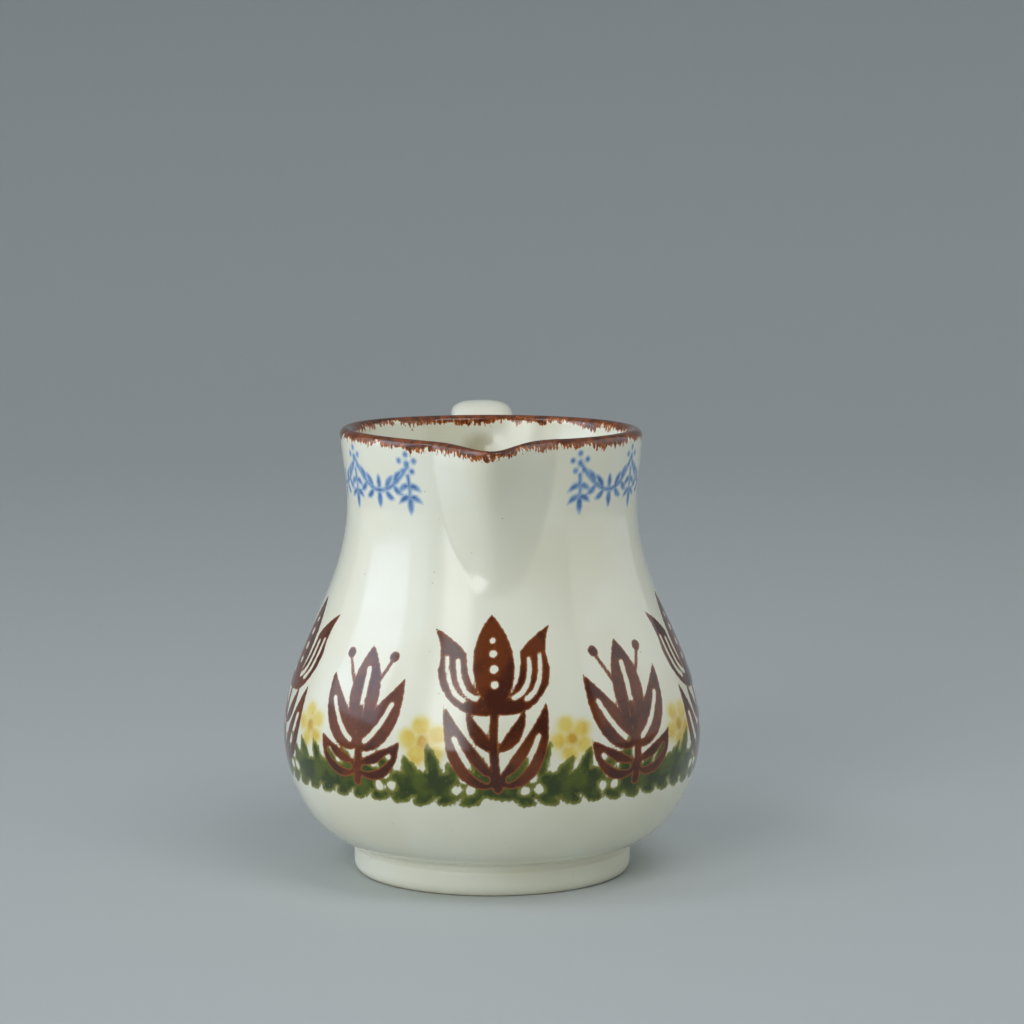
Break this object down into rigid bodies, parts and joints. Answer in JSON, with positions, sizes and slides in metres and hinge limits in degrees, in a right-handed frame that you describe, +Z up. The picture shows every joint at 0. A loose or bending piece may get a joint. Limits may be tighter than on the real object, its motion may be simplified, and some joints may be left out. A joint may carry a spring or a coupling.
{
  "type": "pitcher",
  "caption": "Small glazed earthenware pitcher with a round belly on a foot ring, a short neck, a pulled beak spout and a strap handle.",
  "frame": {"origin": "centre of the foot ring on the plane that the pitcher stands on", "axes": "+Z up, -Y towards the tip of the spout, +Y towards the handle, +X to the right seen from the spout's side"},
  "size_m": [0.094, 0.113, 0.1018],
  "materials": {
    "body_glaze": "glossy cream glaze over coloured slip decoration",
    "spout_glaze": "glossy cream glaze, brown sponged edge",
    "foot_glaze": "glossy cream glaze, wiped bare where it stands",
    "handle_glaze": "glossy cream glaze",
    "joint_glaze": "glossy cream glaze over luting slip"
  },
  "bodies": {
    "root": {"body": "body_glaze", "spout": "spout_glaze", "foot_ring": "foot_glaze", "handle": "handle_glaze", "upper_handle_joint": "joint_glaze", "lower_handle_joint": "joint_glaze"}
  },
  "joints": []
}
